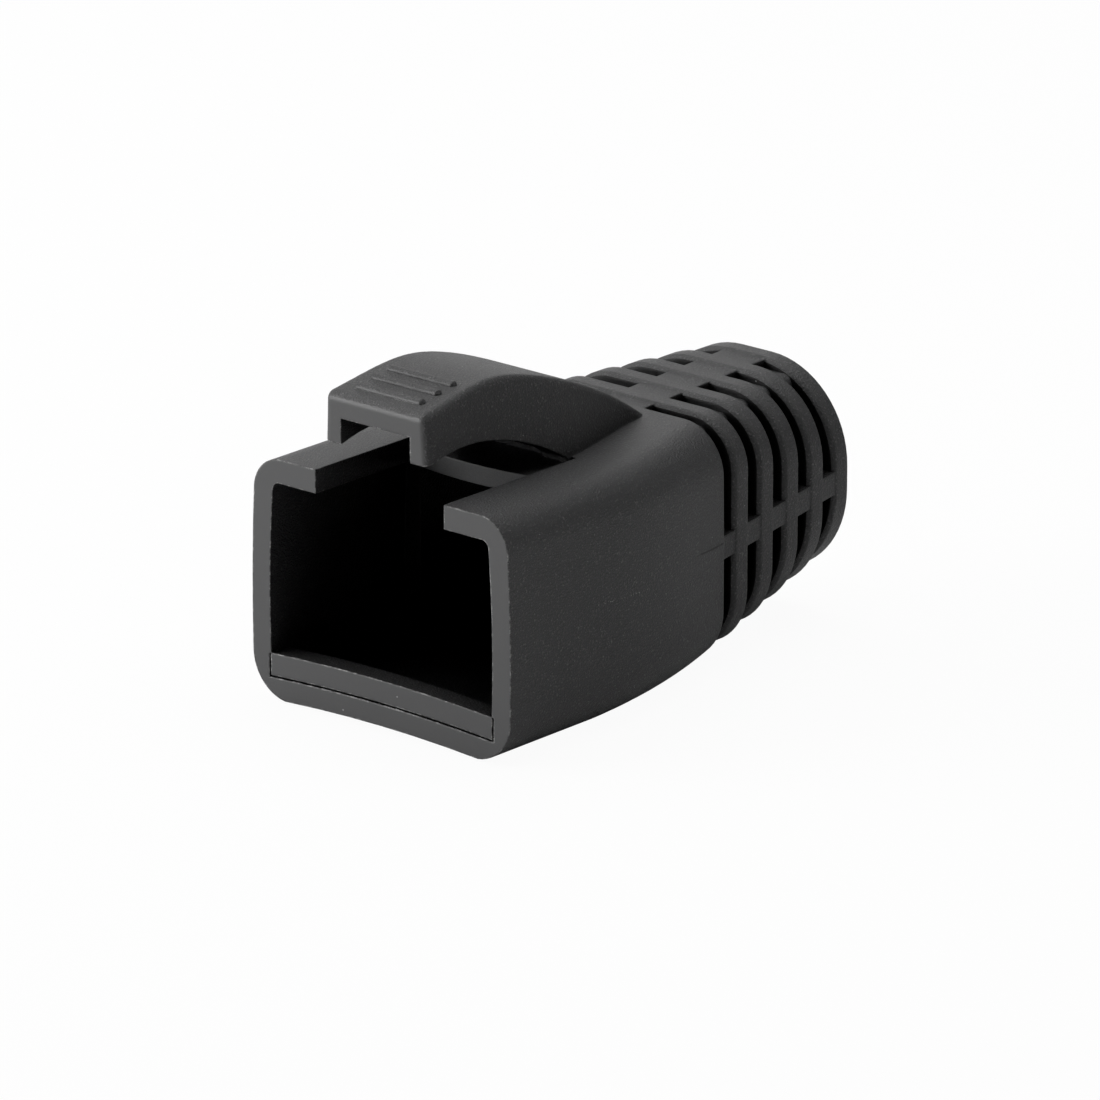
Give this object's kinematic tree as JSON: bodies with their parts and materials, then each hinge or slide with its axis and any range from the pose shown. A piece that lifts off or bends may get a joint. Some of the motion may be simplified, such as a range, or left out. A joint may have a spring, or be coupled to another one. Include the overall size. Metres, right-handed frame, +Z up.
{
  "type": "rj45 strain relief boot",
  "caption": "Moulded strain relief boot for a modular network plug: open housing, arched latch hood and ringed tapering tail.",
  "frame": {"origin": "middle of the plug opening's plane, at the level the boot rests on", "axes": "X across the boot, +Y from the plug opening back to the cable end, +Z up towards the latch hood"},
  "size_m": [0.014, 0.024, 0.0145],
  "materials": {
    "boot": "fine satin grain"
  },
  "bodies": {
    "root": {"boot": "boot"}
  },
  "joints": []
}
